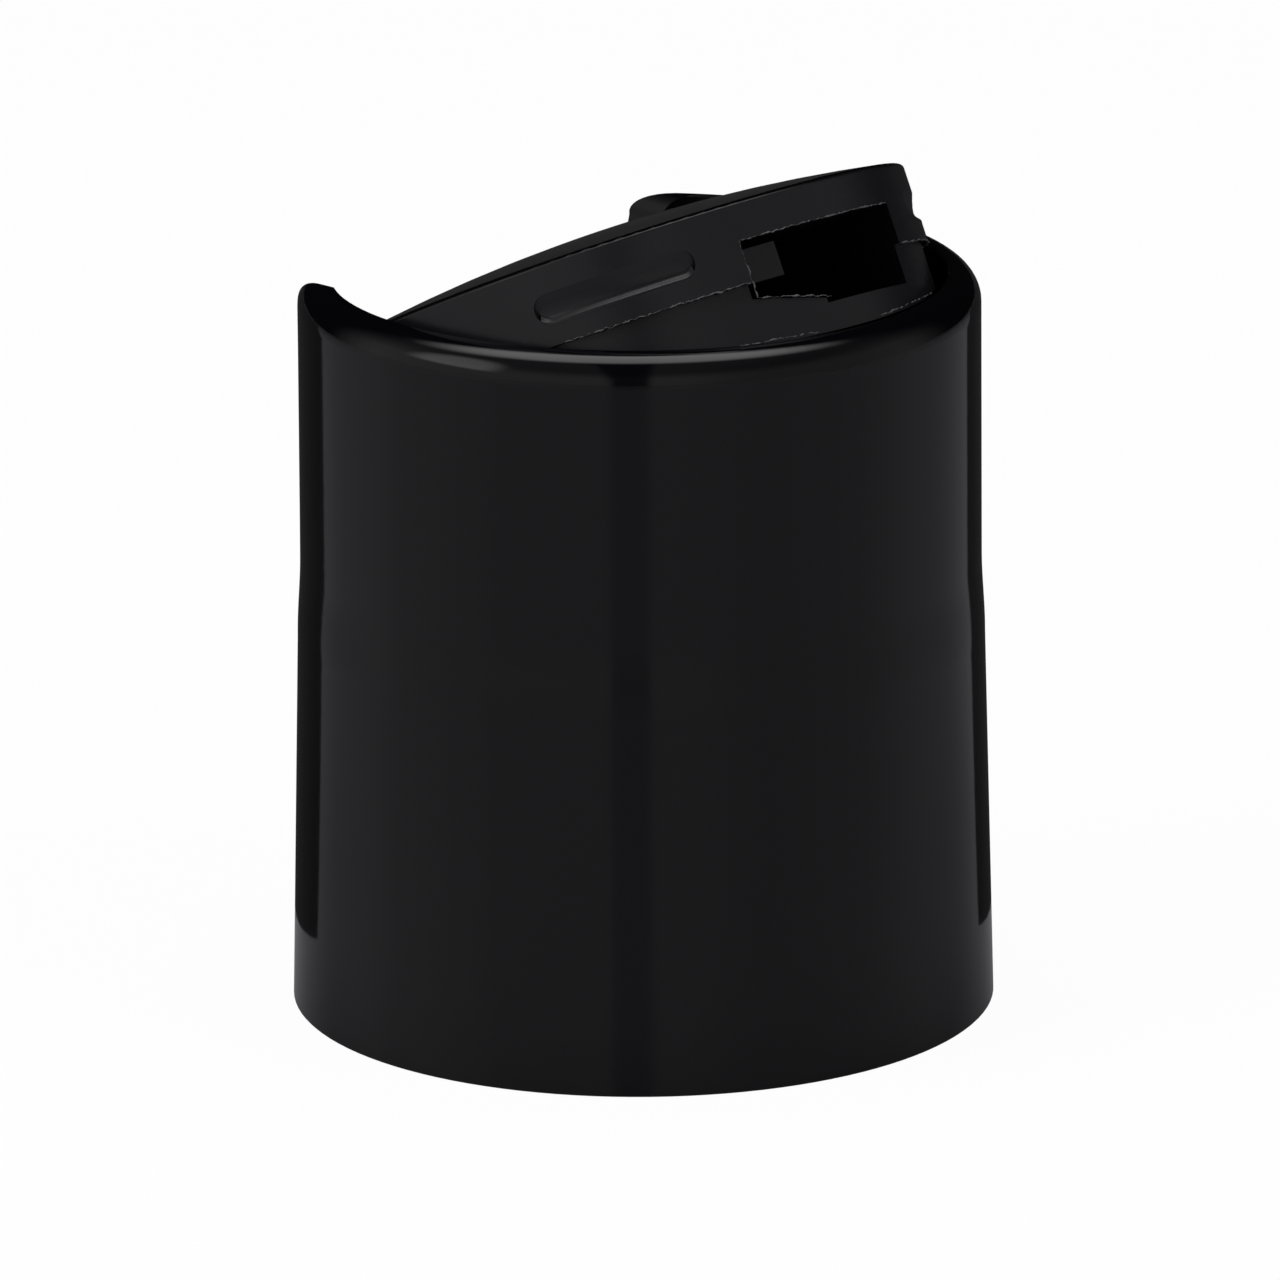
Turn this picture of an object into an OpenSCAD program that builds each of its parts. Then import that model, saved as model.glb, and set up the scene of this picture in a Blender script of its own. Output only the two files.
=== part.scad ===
// Press-disc dispensing closure for a 24 mm bottle neck, modelled with its disc tilted open.
// Origin: bottom centre of the skirt. +Z up, the spout points to -Y, the finger notch to +Y.

/* [Neck fit] */
// Bore of the threaded sleeve at the root of its thread
neck_bore_d = 24.1; // [20.1:0.1:38]
// Wall of the threaded sleeve
sleeve_wall = 0.7; // [0.5:0.05:1.2]
// How far the sleeve stays above the foot of the shell
sleeve_lift = 0.8; // [0.3:0.1:2]
// Lead-in chamfer at the mouth of the sleeve
sleeve_lead = 0.35; // [0.1:0.05:0.5]
// Height of the sealing land above the foot
land_h = 17.4; // [15:0.1:20]
// Radius of the sealing bead on the land
bead_r = 9.9; // [8:0.1:10]
// Height of the sealing bead
bead_h = 0.6; // [0.3:0.05:0.8]
// Height of the ledge that centres the bottle's lip
ledge_h = 1; // [0.9:0.1:1.6]
// Inward step of that ledge
ledge_in = 0.35; // [0.1:0.05:0.6]

/* [Outer shell] */
// Wall of the outer shell around the sleeve
shell_wall = 0.9; // [0.6:0.05:1.5]
// Gap between sleeve and shell at the open end
shell_gap = 0.65; // [0.6:0.05:2]
// Depth of that gap above the foot
shell_gap_h = 12.5; // [6:0.5:13.5]
// Height of the rim's crest
body_h = 30.3; // [29.5:0.1:34]
// Radius lost between the foot and the soft step
skirt_taper = 0.36; // [0.1:0.02:0.5]
// Height of the soft step's lower end, where the deck stiffens the shell
step_low = 15.2; // [14:0.1:16]
// Height of the soft step
step_h = 3.4; // [1:0.1:5]
// Radius lost over the soft step
step_in = 0.14; // [0:0.01:0.3]
// Radius lost between the soft step and the rim
crown_taper = 0.03; // [0:0.01:0.3]
// Wall around the well at the rim
rim_wall = 1.35; // [1:0.02:1.6]
// Outer round of the rim
rim_round = 1.27; // [0.3:0.02:1.5]
// Break of the rim's inner edge
rim_break = 0.08; // [0.02:0.02:0.2]
// Break of the foot's outer edge
foot_break = 0.05; // [0.05:0.05:0.4]

/* [Well and deck] */
// Thickness of the deck
deck_t = 1.1; // [0.8:0.1:1.5]
// Radius lost between the rim and the floor of the well
well_draft = 0.12; // [0:0.02:0.2]
// Fillet around the floor of the well
well_fillet = 0.6; // [0.2:0.1:1]
// Outside radius of the seat's post
post_r = 5.2; // [4.6:0.1:5.6]
// Outside radius of the hollow below the seat
post_core_r = 4; // [2.5:0.1:4.2]
// Skin left between the seat and that hollow
seat_skin = 1.1; // [0.8:0.1:1.5]
// Radius of the orifice in the seat
orifice_r = 1.5; // [0.8:0.05:1.5]
// Thickness of the ribs that stop the disc
rib_t = 0.8; // [0.6:0.1:1.2]
// Inward reach of the stop ribs
rib_reach = 2.2; // [1.6:0.1:2.6]
// Sideways spacing of the stop ribs
rib_pitch = 4.4; // [3:0.1:6]

/* [Finger notch] */
// Depth of the notch below the rim's crest
notch_depth = 5.2; // [3:0.1:5.6]
// Half width of the notch between its upright sides
notch_half_w = 9.5; // [7:0.05:9.9]
// Round between the notch's sides and its floor
notch_corner = 3; // [1:0.1:4]
// Round of the horns at both ends of the notch
horn_round = 1; // [0.4:0.1:1.6]

/* [Disc] */
// Gap between the disc and the well at the rim
disc_gap = 0.37; // [0.34:0.01:0.6]
// Round of the disc's upper edge
disc_round = 0.2; // [0.14:0.02:0.9]
// Rise of the domed top above its edge
dome_rise = 1.1; // [0.3:0.05:1.4]
// Thickness of the top
top_t = 1; // [0.8:0.05:1.3]
// Height of the side wall below the round
wall_h = 3.1; // [2.9:0.05:3.4]
// Thickness of the side wall
wall_t = 1; // [0.8:0.05:1.2]
// How far the apron below the wall is set back
apron_inset = 0.3; // [0.2:0.02:0.5]
// Depth of the apron's front edge below the round
apron_h = 5.85; // [5.5:0.05:6]
// Slope of the apron's lower edge
apron_slope = 16; // [10:1:22]

/* [Tilt] */
// Tilt of the disc as shown
tilt_deg = 25.4; // [24.2:0.1:26]
// Depth of the pivot below the disc's round
pivot_drop = 2.3; // [2.1:0.05:2.5]
// How far the pivot lies behind the middle
pivot_back = 1; // [0.6:0.1:1.2]
// How far the disc's round lies below the rim when closed
closed_drop = 0.05; // [0:0.01:0.3]
// Radius of the pivot pins
pin_r = 1.1; // [0.9:0.05:1.3]
// Radial clearance of the pins in their sockets
pin_clear = 0.05; // [0.02:0.01:0.09]
// How far the pins reach into the wall of the well
pin_reach = 0.6; // [0.4:0.05:0.7]
// Chamfer on the ends of the pins
pin_chamfer = 0.3; // [0.1:0.05:0.4]

/* [Spout and seal] */
// Outside radius of the round seal under the disc
seal_r = 7; // [6.7:0.1:7.4]
// Wall of the seal
seal_t = 0.9; // [0.7:0.05:1.1]
// Clearance between the seal and its seat
seal_clear = 0.05; // [0.02:0.01:0.09]
// Width of the spout's window
spout_w = 8.4; // [6:0.1:9]
// Depth of the window's upper edge below the round
spout_top = 1.4; // [1.3:0.05:1.6]
// Height of the window
spout_h = 3.3; // [2.8:0.05:3.3]
// Wall on both sides of the channel
channel_wall = 0.9; // [0.7:0.05:1.1]
// Floor of the channel, at its thinnest
channel_floor = 0.8; // [0.6:0.05:0.9]
// Width of the block that narrows the channel's mouth on one side
block_w = 2.2; // [1:0.1:3.5]
// Length of the block along the channel
block_l = 2.4; // [1.5:0.1:2.6]
// Gap between the top of the block and the top of the channel
block_gap = 0.3; // [0.1:0.05:0.6]
// Width of the raised part of the window's lower edge
sill_w = 3.2; // [2:0.1:4]
// Rise of that part at the window's side
sill_rise = 0.95; // [0.4:0.05:1.2]
// Step at the inner end of that part
sill_step = 0.2; // [0.1:0.05:0.4]

/* [Grip grooves] */
// Depth of each groove in the disc's wall
groove_depth = 0.3; // [0.1:0.02:0.35]
// Height of each groove
groove_h = 1.2; // [0.8:0.05:1.3]
// Height of the sloping ledge along its lower edge
groove_ledge = 0.28; // [0.1:0.02:0.4]
// Depth of each groove's lower edge below the round
groove_low = 2.23; // [2.1:0.01:2.4]
// Angle from the spout to the near end of each groove
groove_from = 30; // [28:1:36]
// Angle from the spout to the far end of each groove
groove_to = 62; // [50:1:66]
// How far the closing beads stand out of the well's wall
snap_reach = 0.12; // [0.06:0.01:0.14]

/* [Hidden] */
$fn = 96;

eps = 0.01;
over = 1;
stop_clear = 0.05;
step_facets = 10;
black = "#19191b";
satin = "#232325";

// Body radii, from the neck outwards
bore_r = neck_bore_d / 2;
sleeve_r = bore_r + sleeve_wall;
skirt_r = sleeve_r + shell_gap + shell_wall;
waist_r = skirt_r - skirt_taper;
upper_r = waist_r - step_in;
crown_r = upper_r - crown_taper;
rim_r = min(rim_round, rim_wall - rim_break);
well_r = crown_r - rim_wall;
floor_r = well_r - well_draft;

// Body levels, from the foot upwards
deck_z = land_h + deck_t;
pivot_z = body_h - closed_drop - pivot_drop;
seat_r = seal_r + seal_clear;
seat_z = pivot_z - seat_r;
post_z = pivot_z - sqrt(pow(seat_r, 2) - pow(post_r - 0.25, 2));
core_z = seat_z - seat_skin;

// Disc sizes, with the pivot as origin and the disc closed
disc_r = well_r - disc_gap;
apron_r = disc_r - apron_inset;
edge_r = disc_r - disc_round;
dome_edge = edge_r + disc_round * 0.13;
dome_r = (pow(dome_edge, 2) + pow(dome_rise, 2)) / (2 * dome_rise);
dome_z = pivot_drop - sqrt(pow(dome_r - disc_round, 2) - pow(edge_r, 2));
wall_z = pivot_drop - wall_h;
apron_z = pivot_drop - apron_h;
window_top = pivot_drop - spout_top;
window_low = window_top - spout_h;
front_y = -disc_r - pivot_back;
block_y = front_y + wall_t;
groove_z = pivot_drop - groove_low;

// Lowest points of the disc at both ends of its travel
rear_low_z = pivot_z - (disc_r - pivot_back) * sin(tilt_deg) + wall_z * cos(tilt_deg);
front_low_z = pivot_z + apron_z;

// Outer radius of the body part way up the soft step
function step_r(t) = upper_r + step_in * (1 + cos(180 * t)) / 2;

// Outer outline of the body, right of the axis
module outer_outline() {
  step_points = [
    for (i = [0 : step_facets])
      [step_r(i / step_facets), step_low + step_h * i / step_facets]
  ];
  polygon(concat(
    [[0, 0], [skirt_r - foot_break, 0], [skirt_r, foot_break]],
    step_points,
    [[crown_r, body_h - rim_r], [crown_r - rim_r, body_h - rim_r], [crown_r - rim_r, body_h], [0, body_h]]
  ));
  translate([crown_r - rim_r, body_h - rim_r])
    circle(r = rim_r);
}

// Well above the deck, with a fillet around its floor
module well_outline() {
  polygon([
    [0, deck_z],
    [floor_r - well_fillet, deck_z],
    [floor_r - well_fillet, deck_z + well_fillet],
    [floor_r, deck_z + well_fillet],
    [well_r, body_h - rim_break],
    [well_r + rim_break, body_h],
    [well_r + rim_break, body_h + over],
    [0, body_h + over]
  ]);
  translate([floor_r - well_fillet, deck_z + well_fillet])
    circle(r = well_fillet);
}

// Neck bore with its ledge, the mouth below the sleeve and the gap around the sleeve
module neck_outline() {
  shell_in = skirt_r - shell_wall;
  shell_top = shell_in - skirt_taper * shell_gap_h / step_low;
  polygon([
    [0, -over],
    [shell_in, -over],
    [shell_in, 0],
    [shell_top, shell_gap_h],
    [sleeve_r, shell_gap_h],
    [sleeve_r, sleeve_lift],
    [bore_r + sleeve_lead, sleeve_lift],
    [bore_r, sleeve_lift + sleeve_lead],
    [bore_r, land_h - ledge_h],
    [bore_r - ledge_in, land_h - ledge_h],
    [bore_r - ledge_in, land_h],
    [0, land_h]
  ]);
}

// Sealing bead that bites on the bottle's lip
module seal_bead() {
  rotate_extrude()
    polygon([
      [bead_r - bead_h / 2, land_h + eps],
      [bead_r, land_h - bead_h],
      [bead_r + bead_h / 2, land_h + eps]
    ]);
}

// Post that carries the round seat, cored from below
module seat_post() {
  translate([0, pivot_back, deck_z - eps])
    cylinder(r = post_r, h = post_z - deck_z + eps);
}

module seat_cuts() {
  translate([0, pivot_back, pivot_z])
    sphere(r = seat_r, $fn = 120);
  translate([0, pivot_back, land_h - over])
    cylinder(r = post_core_r, h = core_z - land_h + over);
  translate([0, pivot_back, core_z - over])
    cylinder(r = orifice_r, h = seat_z - core_z + 2 * over);
}

// One upright rib on the wall of the well, its top just below the disc
module stop_rib(x, side, top_z) {
  root_y = sqrt(pow(well_r + 0.3, 2) - pow(x, 2));
  rib_h = top_z - stop_clear - deck_z + eps;
  translate([x - rib_t / 2, side > 0 ? root_y - rib_reach : -root_y, deck_z - eps])
    cube([rib_t, rib_reach, rib_h]);
}

module stop_ribs() {
  for (i = [-1 : 1])
    stop_rib(i * rib_pitch, 1, rear_low_z);
  for (i = [-1, 1])
    stop_rib(i * rib_pitch, -1, front_low_z);
}

// Low beads that hold the closed disc by its grooves
module snap_beads() {
  bead_mid = pivot_z + groove_z + groove_h / 2;
  half_h = groove_h * 0.3;
  for (side = [0, 1])
    mirror([side, 0, 0])
      rotate([0, 0, -90 + groove_from + 2])
        rotate_extrude(angle = groove_to - groove_from - 4)
          polygon([
            [well_r + 0.2, bead_mid - half_h],
            [well_r - snap_reach, bead_mid],
            [well_r + 0.2, bead_mid + half_h]
          ]);
}

// Side view of the finger notch, from the level at which its sides stand upright:
// a shallow arc, a rounded corner at each end of it and a rounded horn above each corner
module notch_outline() {
  side_h = notch_depth - horn_round;
  corner_r = min(notch_corner, side_h * 0.8);
  corner_x = notch_half_w - corner_r;
  arc_r = (pow(corner_x, 2) + pow(side_h, 2) - pow(corner_r, 2)) / (2 * (side_h - corner_r));
  arc_x = corner_x * arc_r / (arc_r - corner_r);
  horn_x = notch_half_w + horn_round - eps;
  difference() {
    union() {
      intersection() {
        translate([0, arc_r - side_h])
          circle(r = arc_r, $fn = 180);
        translate([-arc_x, -side_h - over])
          square([2 * arc_x, side_h + over + eps]);
      }
      for (side = [-1, 1])
        translate([side * corner_x, 0])
          circle(r = corner_r + eps);
      translate([-horn_x, 0])
        square([2 * horn_x, horn_round + 2 * over]);
    }
    for (side = [-1, 1])
      translate([side * horn_x, 0])
        circle(r = horn_round);
  }
}

module finger_notch() {
  translate([0, 0, body_h - horn_round])
    rotate([90, 0, 180])
      linear_extrude(height = skirt_r + over)
        notch_outline();
}

module pin_sockets() {
  reach = well_r + pin_reach + pin_clear;
  translate([-reach, pivot_back, pivot_z])
    rotate([0, 90, 0])
      cylinder(r = pin_r + pin_clear, h = 2 * reach);
}

module cap_body() {
  color(black)
    difference() {
      union() {
        rotate_extrude()
          difference() {
            outer_outline();
            well_outline();
            neck_outline();
          }
        seal_bead();
        seat_post();
        stop_ribs();
        snap_beads();
      }
      seat_cuts();
      finger_notch();
      pin_sockets();
    }
}

// Outer outline of the disc: wall, round and dome
module disc_outline() {
  top = dome_z + dome_r + over;
  reach = dome_r / (dome_r - disc_round);
  intersection() {
    translate([0, dome_z])
      circle(r = dome_r, $fn = 720);
    polygon([
      [0, wall_z],
      [disc_r, wall_z],
      [disc_r, pivot_drop],
      [edge_r, pivot_drop],
      [edge_r * reach, dome_z + (pivot_drop - dome_z) * reach],
      [edge_r * reach, top],
      [0, top]
    ]);
  }
  translate([edge_r, pivot_drop])
    circle(r = disc_round);
}

// Hollow below the top, parallel to the dome
module disc_hollow() {
  intersection() {
    translate([0, dome_z])
      circle(r = dome_r - top_t, $fn = 720);
    translate([0, apron_z - over])
      square([disc_r - wall_t, pivot_drop - apron_z + 2 * over]);
  }
}

module disc_shell() {
  translate([0, -pivot_back, 0])
    rotate_extrude()
      difference() {
        disc_outline();
        disc_hollow();
      }
}

// Apron below the front of the wall, its lower edge sloping up to the rear
module apron() {
  difference() {
    translate([0, -pivot_back, 0])
      rotate_extrude()
        translate([disc_r - wall_t, apron_z])
          square([wall_t - apron_inset, wall_z - apron_z + 0.4]);
    translate([0, -apron_r - pivot_back, apron_z])
      rotate([apron_slope, 0, 0])
        translate([-disc_r - over, -over, -4 * disc_r])
          cube([2 * (disc_r + over), 4 * disc_r, 4 * disc_r]);
  }
}

// Solid block of the channel, from the front wall back to the seal
module channel_block() {
  half_w = spout_w / 2 + channel_wall;
  intersection() {
    translate([-half_w, -2 * disc_r, window_low - channel_floor])
      cube([2 * half_w, 2 * disc_r, pivot_drop - window_low + channel_floor + 0.2]);
    inside_wall(0.1);
  }
}

// Outline of the window: its lower edge is raised on one side and steps down to the other
module window_outline() {
  half_w = spout_w / 2;
  polygon([
    [-half_w, window_top],
    [-half_w, window_low + sill_rise],
    [sill_w - half_w, window_low + sill_step],
    [sill_w - half_w, window_low],
    [half_w, window_low],
    [half_w, window_top]
  ]);
}

// Cross-section of the channel beside the block, which reaches down to the wall's lower edge
module mouth_outline() {
  half_w = spout_w / 2;
  polygon([
    [-half_w, window_low],
    [half_w, window_low],
    [half_w, window_top],
    [-half_w, window_top],
    [-half_w, window_top - block_gap],
    [block_w - half_w, window_top - block_gap],
    [block_w - half_w, wall_z],
    [-half_w, wall_z]
  ]);
}

module inside_wall(grow) {
  translate([0, -pivot_back, apron_z])
    cylinder(r = disc_r - wall_t + grow, h = 3 * apron_h);
}

module channel_cuts() {
  intersection() {
    rotate([90, 0, 0]) {
      linear_extrude(height = -block_y - block_l)
        translate([-spout_w / 2, window_low])
          square([spout_w, spout_h]);
      linear_extrude(height = 2 * disc_r)
        mouth_outline();
    }
    inside_wall(eps);
  }
  difference() {
    rotate([90, 0, 0])
      linear_extrude(height = 2 * disc_r)
        window_outline();
    inside_wall(0);
  }
}

// Round seal that turns in the seat and carries the inlet
module seal_solid() {
  sphere(r = seal_r, $fn = 120);
  cylinder(r = seal_r, h = pivot_drop);
}

module seal_hollow() {
  intersection() {
    union() {
      sphere(r = seal_r - seal_t, $fn = 120);
      cylinder(r = seal_r - seal_t, h = window_top);
    }
    translate([0, 0, -seal_r])
      cylinder(r = seal_r, h = seal_r + window_top);
  }
}

module inlet() {
  rotate([tilt_deg, 0, 0])
    translate([0, 0, -seal_r - over])
      cylinder(r = orifice_r, h = seal_t + 3 * over);
}

// Part of the seal that lies below the top
module seal_cup() {
  intersection() {
    seal_solid();
    translate([0, 0, -seal_r - over])
      cylinder(r = seal_r + over, h = seal_r + over + pivot_drop + 0.2);
  }
}

// Pivot pins with chamfered ends, each on a pad inside the wall
module pins() {
  for (side = [0, 1])
    mirror([side, 0, 0])
      rotate([0, 90, 0]) {
        translate([0, 0, disc_r - wall_t])
          cylinder(r = pin_r, h = well_r + pin_reach - disc_r + wall_t - pin_chamfer);
        translate([0, 0, well_r + pin_reach - pin_chamfer])
          cylinder(r1 = pin_r, r2 = pin_r - pin_chamfer, h = pin_chamfer);
        translate([0, 0, disc_r - wall_t - 0.6])
          cylinder(r = pin_r + 0.6, h = 1);
      }
}

// Groove with a steep lower ledge and a long upper slope, round at both ends
module grip_groove() {
  middle = (groove_from + groove_to) / 2;
  half_deg = (groove_to - groove_from) / 2;
  end_deg = groove_h / 2 / disc_r * 57.3;
  translate([0, -pivot_back, 0])
    rotate([0, 0, -90 + middle])
      intersection() {
        rotate([0, 0, -half_deg])
          rotate_extrude(angle = 2 * half_deg)
            polygon([
              [disc_r - groove_depth, groove_z + groove_ledge],
              [disc_r, groove_z],
              [disc_r + over, groove_z],
              [disc_r + over, groove_z + groove_h],
              [disc_r, groove_z + groove_h]
            ]);
        union() {
          for (side = [-1, 1])
            rotate([0, 0, side * (half_deg - end_deg)])
              translate([0, 0, groove_z + groove_h / 2])
                rotate([0, 90, 0])
                  cylinder(r = groove_h / 2, h = disc_r + over);
          rotate([0, 0, -half_deg + end_deg])
            rotate_extrude(angle = 2 * (half_deg - end_deg))
              translate([disc_r - over, groove_z - over])
                square([2 * over, groove_h + 2 * over]);
        }
      }
}

module closed_disc() {
  difference() {
    union() {
      disc_shell();
      apron();
      channel_block();
      seal_cup();
      pins();
    }
    seal_hollow();
    channel_cuts();
    inlet();
    grip_groove();
    mirror([1, 0, 0])
      grip_groove();
  }
}

module disc() {
  color(satin)
    translate([0, pivot_back, pivot_z])
      rotate([-tilt_deg, 0, 0])
        closed_disc();
}

cap_body();
disc();
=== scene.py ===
from math import asin, cos, degrees, pi, radians, sin, sqrt

import bpy
from mathutils import Matrix, Vector


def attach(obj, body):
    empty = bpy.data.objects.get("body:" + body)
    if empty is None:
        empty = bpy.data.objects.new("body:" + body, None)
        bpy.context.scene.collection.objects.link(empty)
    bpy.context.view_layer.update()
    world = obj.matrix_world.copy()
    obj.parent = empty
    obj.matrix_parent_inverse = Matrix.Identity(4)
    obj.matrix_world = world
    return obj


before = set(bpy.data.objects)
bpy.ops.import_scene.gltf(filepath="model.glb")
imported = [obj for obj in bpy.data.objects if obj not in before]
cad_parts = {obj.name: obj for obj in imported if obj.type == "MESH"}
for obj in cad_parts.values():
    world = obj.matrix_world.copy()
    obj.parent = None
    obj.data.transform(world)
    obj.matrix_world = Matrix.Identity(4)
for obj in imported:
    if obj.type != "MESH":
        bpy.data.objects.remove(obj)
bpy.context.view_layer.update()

# Camera: a long lens a little above the closure, 45 degrees round from the spout.
# Its distance, lens and small shift come from a fit to the photograph's rim and foot.
SPOUT_TURN = radians(45.3)
CAMERA_PITCH = radians(16.37)
CAMERA_ROLL = radians(-0.36)
CAMERA_DISTANCE = 0.5206
LOOK_AT = Vector((0, 0, 0.014))
FOCAL_PIXELS = 12826
IMAGE_PIXELS = 1280
SHIFT_PIXELS = (1.6, 19.0)

toward = Vector((-sin(SPOUT_TURN) * cos(CAMERA_PITCH),
                 -cos(SPOUT_TURN) * cos(CAMERA_PITCH),
                 sin(CAMERA_PITCH)))
camera_data = bpy.data.cameras.new("camera")
camera_data.sensor_width = 36
camera_data.lens = FOCAL_PIXELS / IMAGE_PIXELS * camera_data.sensor_width
camera_data.shift_x = -SHIFT_PIXELS[0] / IMAGE_PIXELS
camera_data.shift_y = SHIFT_PIXELS[1] / IMAGE_PIXELS
camera_data.clip_start = 0.01
camera = bpy.data.objects.new("camera", camera_data)
turn = (-toward).to_track_quat("-Z", "Y").to_matrix() @ Matrix.Rotation(CAMERA_ROLL, 3, "Z")
camera.matrix_world = Matrix.Translation(LOOK_AT + toward * CAMERA_DISTANCE) @ turn.to_4x4()
bpy.context.scene.collection.objects.link(camera)
bpy.context.scene.camera = camera

# Studio: a pale, slightly glossy table in a plain room, bright in front and dark behind.
# A soft light hangs over the closure, a tall one stands on the left, and the camera's stand is dark.
bpy.context.scene.view_settings.view_transform = "Standard"
FRONT_LEVEL = 0.55
UPPER_LEVEL = 0.2
UPPER_FROM, UPPER_TO = 0.35, 0.75
FAR_SHARE = 0.003
FAR_TO, FAR_FROM = -0.6, -0.1
RIGHT_SHARE = 0.6
RIGHT_FROM, RIGHT_TO = 0.15, 0.7
STAND_SHARE = 0.12
STAND_HALF_WIDTH = 0.11
STAND_OFFSET = -0.06
PATCH_CORE = 0.2
PATCH_FOOT = 0.1
GLOSS_SHARE = 0.002
front_way = Vector((-sin(SPOUT_TURN), -cos(SPOUT_TURN), 0))
right_way = Vector((cos(SPOUT_TURN), -sin(SPOUT_TURN), 0))
up_way = Vector((0, 0, 1))
world = bpy.data.worlds.new("room")
bpy.context.scene.world = world
world.use_nodes = True
room = world.node_tree
background = room.nodes["Background"]
around = room.nodes.new("ShaderNodeTexCoord")


def maths(tree, operation, *values):
    """One maths node in a tree, fed with numbers or with other nodes' outputs."""
    node = tree.nodes.new("ShaderNodeMath")
    node.operation = operation
    for socket, value in zip(node.inputs, values):
        if isinstance(value, (int, float)):
            socket.default_value = value
        else:
            tree.links.new(value, socket)
    return node.outputs[0]


def along(way):
    """Cosine between the direction that is looked in and a given one."""
    product = room.nodes.new("ShaderNodeVectorMath")
    product.operation = "DOT_PRODUCT"
    product.inputs[1].default_value = way
    room.links.new(around.outputs["Generated"], product.inputs[0])
    return product.outputs["Value"]


def soft_step(value, low, high, from_level, to_level):
    """A level that passes smoothly from one value to another as its input climbs."""
    step = room.nodes.new("ShaderNodeMapRange")
    step.interpolation_type = "SMOOTHSTEP"
    step.inputs["From Min"].default_value = low
    step.inputs["From Max"].default_value = high
    step.inputs["To Min"].default_value = from_level
    step.inputs["To Max"].default_value = to_level
    room.links.new(value, step.inputs["Value"])
    return step.outputs[0]


def soft_light(right, front, up, reach_right, reach_front, lowest, level):
    """A soft-edged patch of light in the room, centred on one direction, with its reach either way."""
    centre = Vector((right, front, up)).normalized()
    sideways = maths(room, "DIVIDE", maths(room, "SUBTRACT", along(right_way), centre.x), reach_right)
    forwards = maths(room, "DIVIDE", maths(room, "SUBTRACT", along(front_way), centre.y), reach_front)
    squares = maths(room, "ADD", maths(room, "MULTIPLY", sideways, sideways),
                    maths(room, "MULTIPLY", forwards, forwards))
    patch = soft_step(squares, PATCH_CORE, 1, level, 0)
    above = soft_step(along(up_way), lowest, lowest + PATCH_FOOT, 0, 1)
    return maths(room, "MULTIPLY", patch, above)


walls = soft_step(along(up_way), UPPER_FROM, UPPER_TO, FRONT_LEVEL, UPPER_LEVEL)
far_side = soft_step(along(front_way), FAR_TO, FAR_FROM, FAR_SHARE, 1)
right_side = soft_step(along(right_way), RIGHT_FROM, RIGHT_TO, 1, RIGHT_SHARE)
from_stand = maths(room, "ABSOLUTE", maths(room, "SUBTRACT", along(right_way), STAND_OFFSET))
stand = soft_step(from_stand, STAND_HALF_WIDTH * 0.8, STAND_HALF_WIDTH * 1.2, STAND_SHARE, 1)
light = maths(room, "MULTIPLY", maths(room, "MULTIPLY", walls, far_side),
              maths(room, "MULTIPLY", stand, right_side))
over_light = soft_light(right=-0.03, front=-0.2, up=0.93,
                        reach_right=0.6, reach_front=0.4, lowest=0, level=3)
left_light = soft_light(right=-0.75, front=0.28, up=0.5,
                        reach_right=0.25, reach_front=0.35, lowest=0.3, level=1.6)
light = maths(room, "ADD", light, maths(room, "ADD", over_light, left_light))
path = room.nodes.new("ShaderNodeLightPath")
seen = maths(room, "MAXIMUM", path.outputs["Is Camera Ray"], path.outputs["Is Transmission Ray"])
seen = maths(room, "MAXIMUM", seen, maths(room, "MULTIPLY", path.outputs["Is Glossy Ray"], GLOSS_SHARE))
level = room.nodes.new("ShaderNodeMix")
level.inputs["B"].default_value = 1
room.links.new(seen, level.inputs["Factor"])
room.links.new(light, level.inputs["A"])
room.links.new(level.outputs["Result"], background.inputs["Strength"])
background.inputs["Color"].default_value = (1, 1, 1, 1)


def flat_sheet(name, corners, material):
    mesh = bpy.data.meshes.new(name)
    mesh.from_pydata([tuple(c) for c in corners], [], [tuple(range(len(corners)))])
    obj = bpy.data.objects.new(name, mesh)
    bpy.context.scene.collection.objects.link(obj)
    mesh.materials.append(material)
    return obj


TABLE_HALF = 1.5
TABLE_LEVEL = -0.00001
TABLE_COLOUR = (0.325, 0.318, 0.338)
TABLE_ROUGHNESS = 0.18
TABLE_WHITE = 1.07
TABLE_WHITE_SHARE = 0.9


def white_table():
    """Paper with a faint gloss, white where the camera sees it from above and clear from below."""
    material = bpy.data.materials.new("white table top")
    material.use_nodes = True
    tree = material.node_tree
    link = tree.links.new
    paper = tree.nodes["Principled BSDF"]
    paper.inputs["Base Color"].default_value = (*TABLE_COLOUR, 1)
    paper.inputs["Roughness"].default_value = TABLE_ROUGHNESS
    glow = tree.nodes.new("ShaderNodeEmission")
    glow.inputs["Strength"].default_value = TABLE_WHITE
    rays = tree.nodes.new("ShaderNodeLightPath")
    straight = maths(tree, "MAXIMUM", rays.outputs["Is Camera Ray"], rays.outputs["Is Transmission Ray"])
    white_share = maths(tree, "MULTIPLY_ADD", rays.outputs["Is Glossy Ray"], GLOSS_SHARE,
                        maths(tree, "MULTIPLY", straight, TABLE_WHITE_SHARE))
    mix = tree.nodes.new("ShaderNodeMixShader")
    link(white_share, mix.inputs["Fac"])
    link(paper.outputs[0], mix.inputs[1])
    link(glow.outputs[0], mix.inputs[2])
    side = tree.nodes.new("ShaderNodeNewGeometry")
    one_way = tree.nodes.new("ShaderNodeMixShader")
    link(side.outputs["Backfacing"], one_way.inputs["Fac"])
    link(mix.outputs[0], one_way.inputs[1])
    link(tree.nodes.new("ShaderNodeBsdfTransparent").outputs[0], one_way.inputs[2])
    link(one_way.outputs[0], tree.nodes["Material Output"].inputs["Surface"])
    return material


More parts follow.
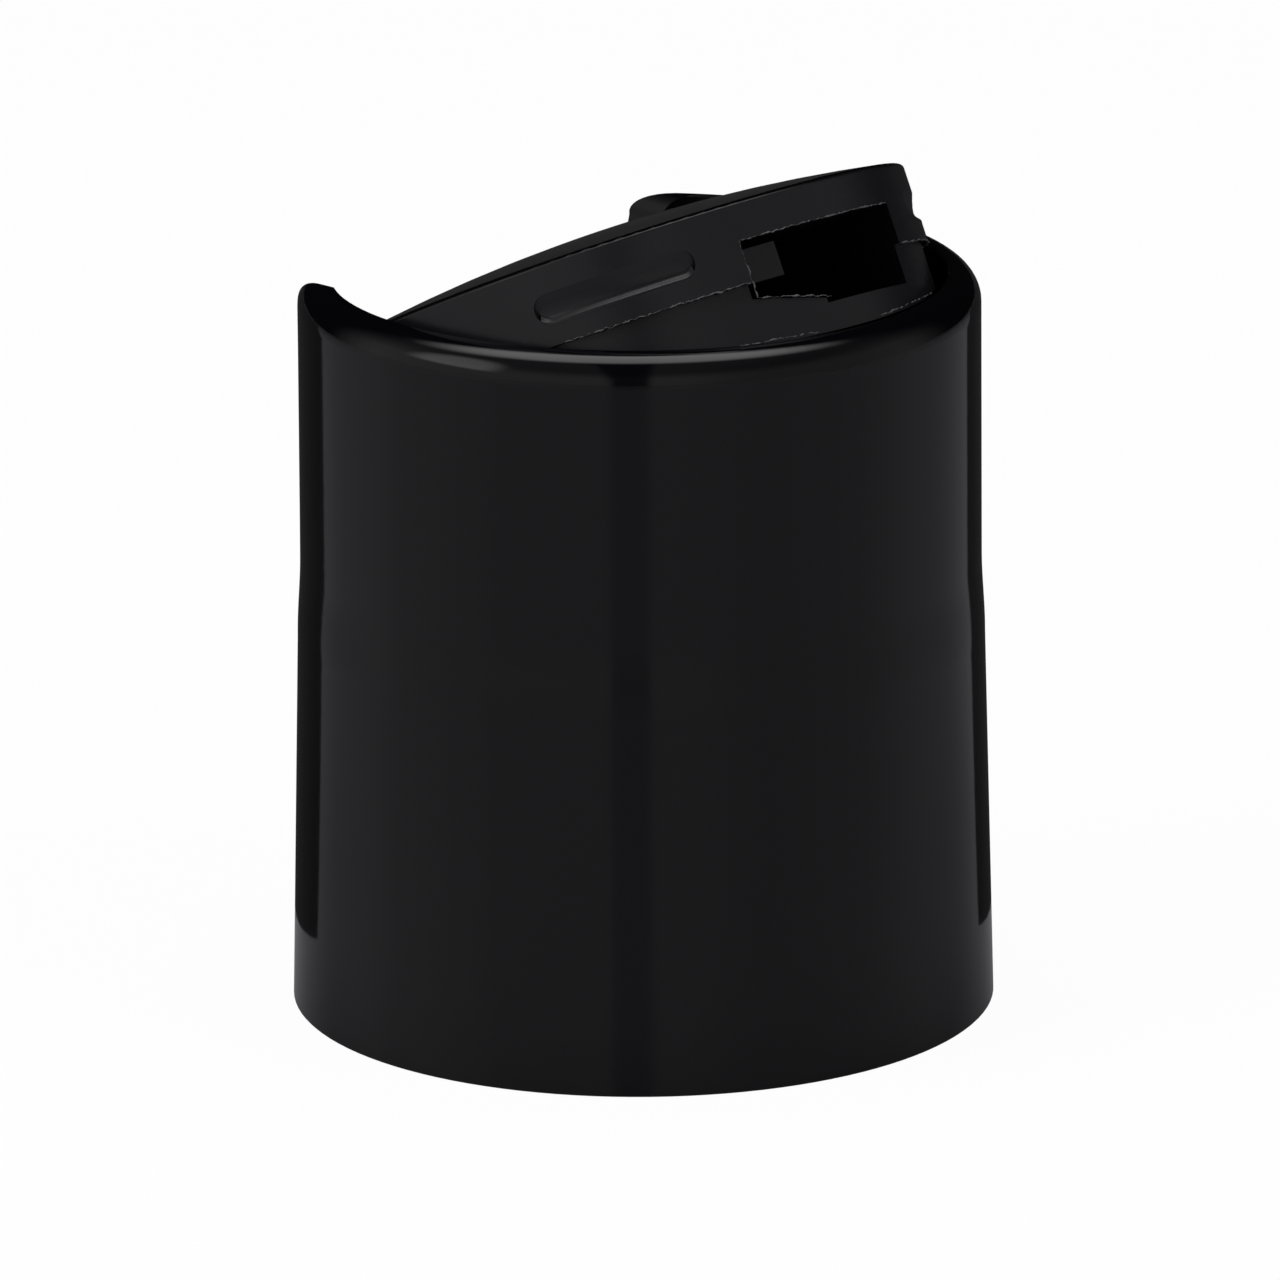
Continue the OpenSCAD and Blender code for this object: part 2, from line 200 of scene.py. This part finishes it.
table = flat_sheet("table_top", [(x * TABLE_HALF, y * TABLE_HALF, TABLE_LEVEL)
                                 for x, y in ((-1, -1), (1, -1), (1, 1), (-1, 1))], white_table())

# A dark card lies on the table behind the closure: only its gloss sees it, as thin dark outlines.
card_black = bpy.data.materials.new("matt black card")
card_black.use_nodes = True
card_shader = card_black.node_tree.nodes["Principled BSDF"]
card_shader.inputs["Base Color"].default_value = (0.01, 0.01, 0.01, 1)
card_shader.inputs["Roughness"].default_value = 0.9
MM = 0.001
CARD_LEVEL = 0.15
CARD_MM = [(-14.2, 12.2), (-21.6, 3.7), (-85.1, 67.2), (-500, 482), (-500, 1300), (500, 1300), (464, 640),
           (71.9, 79.6), (20.3, 6.1), (14.2, 12.2)]
card = flat_sheet("dark_card", [(right_way * right - front_way * back + up_way * CARD_LEVEL) * MM
                                for right, back in CARD_MM], card_black)
card.visible_camera = card.visible_diffuse = card.visible_shadow = card.visible_transmission = False


LAMP_HEIGHT = radians(35)
LAMP_DISTANCE = 0.6
LAMP_SIZE = 0.3
LAMP_WATTS = 1.4


def soft_lamp(name, turn_deg):
    """A square lamp at an angle round from the camera and above the table, aimed at the closure."""
    data = bpy.data.lights.new(name, "AREA")
    data.shape = "RECTANGLE"
    data.size = data.size_y = LAMP_SIZE
    data.energy = LAMP_WATTS
    lamp = bpy.data.objects.new(name, data)
    turn = -SPOUT_TURN + radians(turn_deg)
    away = Vector((sin(turn) * cos(LAMP_HEIGHT), -cos(turn) * cos(LAMP_HEIGHT), sin(LAMP_HEIGHT)))
    pose = (-away).to_track_quat("-Z", "Y").to_matrix().to_4x4()
    lamp.matrix_world = Matrix.Translation(LOOK_AT + away * LAMP_DISTANCE) @ pose
    lamp.visible_glossy = False
    bpy.context.scene.collection.objects.link(lamp)


soft_lamp("left_lamp", -62)
soft_lamp("right_lamp", 58)


# Cap body: one moulding in black polypropylene, polished in the mould on its outside.
# It keeps the CAD solid; faint flow marks and dust-fine pits break up the gloss.
FLOW_SCALE = 90
TINT_SPREAD = 0.15
SHEEN_SPREAD = 0.2
PIT_DEPTH = 0.00005


def moulded_plastic(name, colour, roughness, specular, grain, grain_size):
    """Plastic with slow changes of tint, finely changing sheen and pits of a given size in metres."""
    material = bpy.data.materials.new(name)
    material.use_nodes = True
    tree = material.node_tree
    shader = tree.nodes["Principled BSDF"]
    shader.inputs["Specular IOR Level"].default_value = specular
    coords = tree.nodes.new("ShaderNodeTexCoord")
    flow = tree.nodes.new("ShaderNodeTexNoise")
    flow.inputs["Scale"].default_value = FLOW_SCALE
    flow.inputs["Detail"].default_value = 3
    tint = tree.nodes.new("ShaderNodeMix")
    tint.data_type = "RGBA"
    tint.inputs["A"].default_value = (*[c * (1 - TINT_SPREAD) for c in colour], 1)
    tint.inputs["B"].default_value = (*[c * (1 + TINT_SPREAD) for c in colour], 1)
    tree.links.new(coords.outputs["Object"], flow.inputs["Vector"])
    tree.links.new(flow.outputs["Fac"], tint.inputs["Factor"])
    tree.links.new(tint.outputs["Result"], shader.inputs["Base Color"])
    speck = tree.nodes.new("ShaderNodeTexNoise")
    speck.inputs["Scale"].default_value = 1 / grain_size
    speck.inputs["Detail"].default_value = 4
    tree.links.new(coords.outputs["Object"], speck.inputs["Vector"])
    sheen = tree.nodes.new("ShaderNodeMapRange")
    sheen.inputs["To Min"].default_value = roughness * (1 - SHEEN_SPREAD)
    sheen.inputs["To Max"].default_value = roughness * (1 + SHEEN_SPREAD)
    tree.links.new(speck.outputs["Fac"], sheen.inputs["Value"])
    tree.links.new(sheen.outputs[0], shader.inputs["Roughness"])
    bump = tree.nodes.new("ShaderNodeBump")
    bump.inputs["Strength"].default_value = grain
    bump.inputs["Distance"].default_value = PIT_DEPTH
    tree.links.new(speck.outputs["Fac"], bump.inputs["Height"])
    tree.links.new(bump.outputs["Normal"], shader.inputs["Normal"])
    return material


def dress(node, material):
    """Give a CAD node its finish and leave its mesh alone."""
    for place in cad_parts[node].material_slots:
        place.material = material


gloss_black = moulded_plastic("gloss black moulding", colour=(0.0012, 0.0012, 0.0018), roughness=0.08,
                              specular=0.3, grain=0.02, grain_size=0.0006)
dress("cap_body", gloss_black)


# Disc: a second moulding in the same black plastic, with a finer, satin wall and apron.
# Only its domed top is polished, so it mirrors the dark far side of the room; its colour there is darkened as
# painted shade.
DISC_TILT = radians(25.4)
PIVOT = Vector((0, 1, 27.95))
PIVOT_DROP = 2.3
PIVOT_BACK = 1
DISC_RADIUS = 12.05
DOME_RADIUS = 64.66
DOME_DEPTH = 61.062
DOME_EDGE = (0.14, 0.05)
DOME_ROUGHNESS = 0.1
# The darker colour on the dome's top is painted shade.
DOME_PAINTED_SHADE_COLOUR = (0.0014, 0.0013, 0.0013)
disc_place = Matrix.Translation(PIVOT) @ Matrix.Rotation(-DISC_TILT, 4, "X")
dome_centre = disc_place @ Vector((0, -PIVOT_BACK, -DOME_DEPTH))
satin_black = moulded_plastic("satin black moulding", colour=(0.0065, 0.0065, 0.0078), roughness=0.3,
                              specular=0.33, grain=0.08, grain_size=0.00025)


def polished_and_shaded_dome(material):
    """On the dome's sphere the surface is polished and perfectly round, and its colour is darkened as painted
    shade.
    """
    tree = material.node_tree
    shader = tree.nodes["Principled BSDF"]
    coords = tree.nodes.new("ShaderNodeTexCoord")
    outward = tree.nodes.new("ShaderNodeVectorMath")
    outward.operation = "SUBTRACT"
    outward.inputs[1].default_value = dome_centre * MM
    tree.links.new(coords.outputs["Object"], outward.inputs[0])
    reach = tree.nodes.new("ShaderNodeVectorMath")
    reach.operation = "LENGTH"
    tree.links.new(outward.outputs[0], reach.inputs[0])
    edge = tree.nodes.new("ShaderNodeMapRange")
    edge.inputs["From Min"].default_value = (DOME_RADIUS - DOME_EDGE[0]) * MM
    edge.inputs["From Max"].default_value = (DOME_RADIUS - DOME_EDGE[1]) * MM
    tree.links.new(reach.outputs["Value"], edge.inputs["Value"])
    round_way = tree.nodes.new("ShaderNodeVectorTransform")
    round_way.vector_type = "NORMAL"
    round_way.convert_from = "OBJECT"
    round_way.convert_to = "WORLD"
    tree.links.new(outward.outputs[0], round_way.inputs[0])
    # Sockets of the mix node for numbers, colours and vectors: below the edge, above it, and the result.
    blends = (("Roughness", "FLOAT", 2, 3, 0, DOME_ROUGHNESS),
              ("Base Color", "RGBA", 6, 7, 2, (*DOME_PAINTED_SHADE_COLOUR, 1)),
              ("Normal", "VECTOR", 4, 5, 1, None))
    for socket, kind, below, above, result, value in blends:
        blend = tree.nodes.new("ShaderNodeMix")
        blend.data_type = kind
        tree.links.new(edge.outputs[0], blend.inputs[0])
        tree.links.new(shader.inputs[socket].links[0].from_socket, blend.inputs[below])
        if value is None:
            tree.links.new(round_way.outputs[0], blend.inputs[above])
        else:
            blend.inputs[above].default_value = value
        tree.links.new(blend.outputs[result], shader.inputs[socket])


polished_and_shaded_dome(satin_black)
dress("disc", satin_black)

# Neck thread: one and a half turns of a right-handed thread inside the sleeve, part of the body's moulding.
# It runs out into the wall at both ends. A path of nodes winds a trapezoid section round the bore.
THREAD_PITCH = 0.003175
THREAD_TURNS = 1.5
THREAD_START = 0.0042
THREAD_ROOT_RADIUS = 0.01206
THREAD_DEPTH = 0.00105
THREAD_FOOT_WIDTH = 0.0021
THREAD_CREST_WIDTH = 0.0009
RUN_OUT_GROWTH = 14.0
RUN_OUT_LEAST = 0.05


def size_tree(name, sizes):
    """An empty geometry tree with one named input for each size, and its input and output nodes."""
    tree = bpy.data.node_groups.new(name, "GeometryNodeTree")
    tree.interface.new_socket("Path", in_out="INPUT", socket_type="NodeSocketGeometry")
    for size in sizes:
        tree.interface.new_socket(size, in_out="INPUT", socket_type="NodeSocketFloat")
    tree.interface.new_socket("Plastic", in_out="INPUT", socket_type="NodeSocketMaterial")
    tree.interface.new_socket("Moulding", in_out="OUTPUT", socket_type="NodeSocketGeometry")
    return tree, tree.nodes.new("NodeGroupInput"), tree.nodes.new("NodeGroupOutput")


def swept(tree, given, path, scale, section, out):
    """End of a tree: the section is swept along the path, made real and given its plastic."""
    sweep = tree.nodes.new("GeometryNodeCurveToMesh")
    sweep.inputs["Fill Caps"].default_value = True
    tree.links.new(section, sweep.inputs["Profile Curve"])
    tree.links.new(path, sweep.inputs["Curve"])
    tree.links.new(scale, sweep.inputs["Scale"])
    real = tree.nodes.new("GeometryNodeRealizeInstances")
    finish = tree.nodes.new("GeometryNodeSetMaterial")
    tree.links.new(sweep.outputs["Mesh"], real.inputs[0])
    tree.links.new(real.outputs[0], finish.inputs["Geometry"])
    tree.links.new(given.outputs["Plastic"], finish.inputs["Material"])
    tree.links.new(finish.outputs[0], out.inputs["Moulding"])


def moulded(name, tree, sizes, plastic, path=None):
    """Run a tree on a path and keep its result as a plain mesh object."""
    source = bpy.data.objects.new(name + "_path", path or bpy.data.meshes.new(name + "_path"))
    bpy.context.scene.collection.objects.link(source)
    grow = source.modifiers.new("moulding", "NODES")
    grow.node_group = tree
    sockets = {item.name: item.identifier for item in tree.interface.items_tree if item.in_out == "INPUT"}
    for size, value in sizes.items():
        grow[sockets[size]] = float(value)
    grow[sockets["Plastic"]] = plastic
    evaluated = source.evaluated_get(bpy.context.evaluated_depsgraph_get())
    mesh = bpy.data.meshes.new_from_object(evaluated)
    source.modifiers.remove(grow)
    bpy.data.objects.remove(source)
    mesh.name = name
    piece = bpy.data.objects.new(name, mesh)
    bpy.context.scene.collection.objects.link(piece)
    return piece


thread_tree, given, out = size_tree(
    "neck thread", ["Turns", "Pitch", "Root Radius", "Depth", "Foot Width", "Crest Width"])
link = thread_tree.links.new
winding = thread_tree.nodes.new("GeometryNodeCurveSpiral")
winding.inputs["Resolution"].default_value = 96
winding.inputs["Reverse"].default_value = True
climb = maths(thread_tree, "MULTIPLY", given.outputs["Turns"], given.outputs["Pitch"])
link(given.outputs["Turns"], winding.inputs["Rotations"])
link(given.outputs["Root Radius"], winding.inputs["Start Radius"])
link(given.outputs["Root Radius"], winding.inputs["End Radius"])
link(climb, winding.inputs["Height"])
upright = thread_tree.nodes.new("GeometryNodeSetCurveNormal")
upright.mode = "Z_UP"
link(winding.outputs["Curve"], upright.inputs["Curve"])
section = thread_tree.nodes.new("GeometryNodeCurvePrimitiveQuadrilateral")
section.mode = "TRAPEZOID"
section.inputs["Offset"].default_value = 0
link(given.outputs["Depth"], section.inputs["Height"])
link(given.outputs["Foot Width"], section.inputs["Bottom Width"])
link(given.outputs["Crest Width"], section.inputs["Top Width"])
seated = thread_tree.nodes.new("GeometryNodeTransform")
half_depth = thread_tree.nodes.new("ShaderNodeCombineXYZ")
link(maths(thread_tree, "DIVIDE", given.outputs["Depth"], 2.0), half_depth.inputs["Y"])
link(section.outputs["Curve"], seated.inputs["Geometry"])
link(half_depth.outputs[0], seated.inputs["Translation"])
turned = thread_tree.nodes.new("GeometryNodeTransform")
turned.inputs["Rotation"].default_value = (0, 0, pi / 2)
link(seated.outputs[0], turned.inputs["Geometry"])
progress = thread_tree.nodes.new("GeometryNodeSplineParameter").outputs["Factor"]
from_end = maths(thread_tree, "MINIMUM", progress, maths(thread_tree, "SUBTRACT", 1.0, progress))
growth = maths(thread_tree, "ADD", maths(thread_tree, "MULTIPLY", from_end, RUN_OUT_GROWTH), RUN_OUT_LEAST)
run_out = maths(thread_tree, "MINIMUM", growth, 1.0)
swept(thread_tree, given, upright.outputs["Curve"], run_out, turned.outputs[0], out)
thread_sizes = {"Turns": THREAD_TURNS, "Pitch": THREAD_PITCH, "Root Radius": THREAD_ROOT_RADIUS,
                "Depth": THREAD_DEPTH, "Foot Width": THREAD_FOOT_WIDTH, "Crest Width": THREAD_CREST_WIDTH}
thread = moulded("neck_thread_helix", thread_tree, thread_sizes, gloss_black)
thread.data.transform(Matrix.Translation((0, 0, THREAD_START)))
thread.data.update()
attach(thread, "body")

# Flash: hair-thin frayed plastic left where the mould's halves met; its paler colour than the walls it stands
# on is a painted highlight.
# It runs under the disc's wall, round the spout's window and here and there along the foot.
SKIRT_RADIUS = 14.262
FOOT_RISE = 0.05
FRAY_SCALE = 5200
THIN_FROM, THIN_TO = 0.42, 0.68
THINNEST = 0.12
# The flash's paler colour is a painted highlight along the edges it follows.
frayed_flash_painted_highlight = moulded_plastic("frayed flash with painted highlight", colour=(0.07, 0.07, 0.074), roughness=0.45,
                               specular=0.5, grain=0.2, grain_size=0.0001)


def on_wall(psi_deg, drop, proud=0.0):
    """A point in mm on the disc's wall, by its angle from the spout and its drop below the top edge."""
    psi = radians(psi_deg)
    reach = DISC_RADIUS + proud
    return disc_place @ Vector((reach * sin(psi), -reach * cos(psi) - PIVOT_BACK, PIVOT_DROP - drop))


def across_wall(x, drop):
    return on_wall(degrees(asin(x / DISC_RADIUS)), drop)


def on_foot(turn_deg):
    turn = radians(turn_deg)
    return Vector((SKIRT_RADIUS * sin(turn), -SKIRT_RADIUS * cos(turn), FOOT_RISE))


def steps(start, end, count):
    return [start + (end - start) * i / count for i in range(count + 1)]


def line_path(name, runs):
    """Open runs of points in mm as one curve in metres."""
    curve = bpy.data.curves.new(name, "CURVE")
    curve.dimensions = "3D"
    for points in runs:
        spline = curve.splines.new("POLY")
        spline.points.add(len(points) - 1)
        for point, place in zip(spline.points, points):
            point.co = (*(place * MM), 1)
    return curve


flash_tree, given, out = size_tree("flash line", ["Thickness", "Raggedness", "Step", "Seed"])
link = flash_tree.links.new
finely = flash_tree.nodes.new("GeometryNodeResampleCurve")
finely.mode = "LENGTH"
link(given.outputs["Path"], finely.inputs["Curve"])
link(given.outputs["Step"], finely.inputs["Length"])
fray = flash_tree.nodes.new("ShaderNodeTexNoise")
fray.noise_dimensions = "4D"
fray.inputs["Scale"].default_value = FRAY_SCALE
fray.inputs["Detail"].default_value = 2
link(flash_tree.nodes.new("GeometryNodeInputPosition").outputs[0], fray.inputs["Vector"])
link(given.outputs["Seed"], fray.inputs["W"])
swing = flash_tree.nodes.new("ShaderNodeVectorMath")
swing.operation = "SUBTRACT"
swing.inputs[1].default_value = (0.5, 0.5, 0.5)
link(fray.outputs["Color"], swing.inputs[0])
shift = flash_tree.nodes.new("ShaderNodeVectorMath")
shift.operation = "SCALE"
link(swing.outputs[0], shift.inputs[0])
link(given.outputs["Raggedness"], shift.inputs["Scale"])
frayed = flash_tree.nodes.new("GeometryNodeSetPosition")
link(finely.outputs["Curve"], frayed.inputs["Geometry"])
link(shift.outputs[0], frayed.inputs["Offset"])
thin = flash_tree.nodes.new("ShaderNodeMapRange")
thin.inputs["From Min"].default_value = THIN_FROM
thin.inputs["From Max"].default_value = THIN_TO
thin.inputs["To Min"].default_value = THINNEST
thin.inputs["To Max"].default_value = 1
link(fray.outputs["Fac"], thin.inputs["Value"])
hair = flash_tree.nodes.new("GeometryNodeCurvePrimitiveCircle")
hair.inputs["Resolution"].default_value = 6
link(given.outputs["Thickness"], hair.inputs["Radius"])
swept(flash_tree, given, frayed.outputs["Geometry"], thin.outputs[0], hair.outputs["Curve"], out)

WALL_EDGE_DROP = 3.1
WALL_EDGE_FROM, WALL_EDGE_TO = 58, 21
WINDOW_HALF = 4.2
WINDOW_TOP_DROP = 1.4
RAISED_SILL_DROP = 3.75
RAISED_SILL_END = (-1.0, 4.5)
APRON_INSET = 0.31
APRON_FROM, APRON_TO = 8, 34
APRON_DROP = 5.28
APRON_SAG = 0.5
FOOT_RUNS = ((-60, -20), (-3, 2), (4, 16), (60, 100), (150, 215))


def apron_drop(psi_deg):
    """Drop of the apron's lower edge, which rises to the rear on both sides of the spout."""
    return APRON_DROP + APRON_SAG * (1 - (abs(psi_deg) - 6) / 26)


wall_flash = [[on_wall(psi, WALL_EDGE_DROP)
               for psi in steps(side * WALL_EDGE_FROM, side * WALL_EDGE_TO, 40)] for side in (-1, 1)]
window_side = [across_wall(-WINDOW_HALF, drop)
               for drop in steps(WINDOW_TOP_DROP + 0.02, RAISED_SILL_DROP, 20)]
window_sill = [across_wall(x, drop) for x, drop in zip(steps(-WINDOW_HALF, RAISED_SILL_END[0], 20),
                                                       steps(RAISED_SILL_DROP, RAISED_SILL_END[1], 20))]
window_top = [across_wall(x, WINDOW_TOP_DROP) for x in steps(0.1 - WINDOW_HALF, WINDOW_HALF - 0.1, 40)]
apron_flash = [[on_wall(psi, apron_drop(psi), -APRON_INSET)
                for psi in steps(side * APRON_FROM, side * APRON_TO, 30)] for side in (-1, 1)]
foot_flash = [[on_foot(turn) for turn in steps(low, high, 30)] for low, high in FOOT_RUNS]
for name, runs, thickness, raggedness, step, seed, body, slot in (
        ("disc_flash", wall_flash + [window_side, window_sill, window_top], 0.05, 0.2, 0.06, 3, "disc", "disc"),
        ("apron_flash", apron_flash, 0.06, 0.16, 0.06, 5, "disc", "disc"),
        ("foot_flash", foot_flash, 0.035, 0.06, 0.08, 9, "body", "cap_body")):
    sizes = {"Thickness": thickness * MM, "Raggedness": raggedness * MM, "Step": step * MM, "Seed": seed}
    piece = moulded(name, flash_tree, sizes, frayed_flash_painted_highlight, line_path(name + "_path", runs))
    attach(piece, body)

# Groove ledges: the soft lower edge of each grip groove, moulded with the disc's wall.
# A narrow strip rounds the lip and fills the corner, so that the ledge catches the light from above.
GROOVE_DROP = 2.23
GROOVE_HEIGHT = 1.2
GROOVE_FROM = 30
GROOVE_TO = 62
LEDGE_TOP = 0.8
LEDGE_ROOM = 0.9
LEDGE_STATIONS = 90
LEDGE_SECTION = [(-0.004, -0.14), (0.008, -0.06), (0.004, 0.01), (-0.03, 0.06),
                 (-0.085, 0.12), (-0.14, 0.185), (-0.185, 0.26), (-0.205, 0.35),
                 (-0.2, 0.46), (-0.175, 0.62), (-0.122, LEDGE_TOP)]


def groove_ledge(name, side):
    """A strip along the groove's foot: its section follows the wall and lifts at the round ends."""
    end_radius = GROOVE_HEIGHT / 2
    end_deg = degrees(end_radius / DISC_RADIUS)
    verts, faces = [], []
    stations = steps(GROOVE_FROM + end_deg / 4, GROOVE_TO - end_deg / 4, LEDGE_STATIONS)
    for psi in stations:
        beyond = max(0, GROOVE_FROM + end_deg - psi, psi - GROOVE_TO + end_deg) / end_deg * end_radius
        lift = end_radius - sqrt(max(0, end_radius ** 2 - beyond ** 2))
        for proud, height in LEDGE_SECTION:
            squash = 1 - lift / LEDGE_ROOM * max(0, height) / LEDGE_TOP
            verts.append(on_wall(side * psi, GROOVE_DROP - height * squash - lift, proud) * MM)
    row = len(LEDGE_SECTION)
    for i in range(len(stations) - 1):
        for j in range(row - 1):
            quad = (i * row + j, (i + 1) * row + j, (i + 1) * row + j + 1, i * row + j + 1)
            faces.append(quad if side > 0 else quad[::-1])
    mesh = bpy.data.meshes.new(name)
    mesh.from_pydata([tuple(v) for v in verts], [], faces)
    mesh.shade_smooth()
    mesh.materials.append(satin_black)
    ledge = bpy.data.objects.new(name, mesh)
    bpy.context.scene.collection.objects.link(ledge)
    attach(ledge, "disc")


groove_ledge("groove_ledge_near", -1)
groove_ledge("groove_ledge_far", 1)
